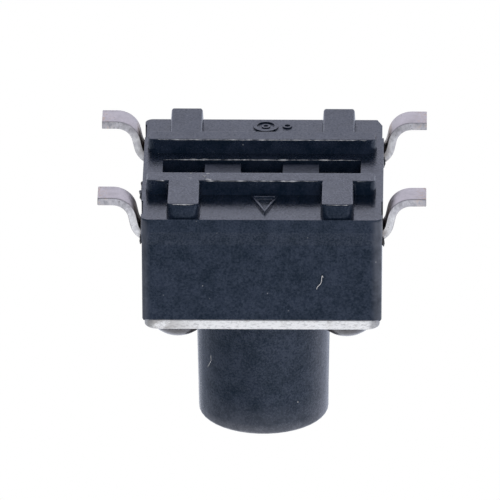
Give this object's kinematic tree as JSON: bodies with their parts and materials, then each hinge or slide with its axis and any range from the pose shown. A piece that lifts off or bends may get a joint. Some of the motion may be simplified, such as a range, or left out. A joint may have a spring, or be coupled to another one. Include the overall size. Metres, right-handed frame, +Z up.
{
  "type": "tactile push button switch",
  "caption": "Square surface-mount momentary push button switch with gull-wing leads, a metal cover and a tall round plunger.",
  "frame": {"origin": "on the plunger's axis, in the plane that the four solder feet stand on", "axes": "+X along the leads, +Y along the other side of the base, +Z up from the board to the plunger's tip"},
  "size_m": [0.0082, 0.006, 0.007],
  "materials": {
    "base_plastic": "satin",
    "tinned_brass": "matte tin plating",
    "spring_steel": "satin",
    "plunger_plastic": "satin",
    "cover_steel": "matte"
  },
  "bodies": {
    "housing": {"base": "base_plastic", "terminal_centre": "tinned_brass", "terminal_outer": "tinned_brass", "snap_dome": "spring_steel", "cover": "cover_steel"},
    "button": {"plunger": "plunger_plastic"}
  },
  "joints": [
    {"name": "plunger_press", "type": "slide", "parent": "housing", "child": "button", "axis": [0, 0, 1], "range_m": [-0.00025, 0], "stiffness_N_per_m": 6400, "deforming": ["snap_dome"]}
  ]
}
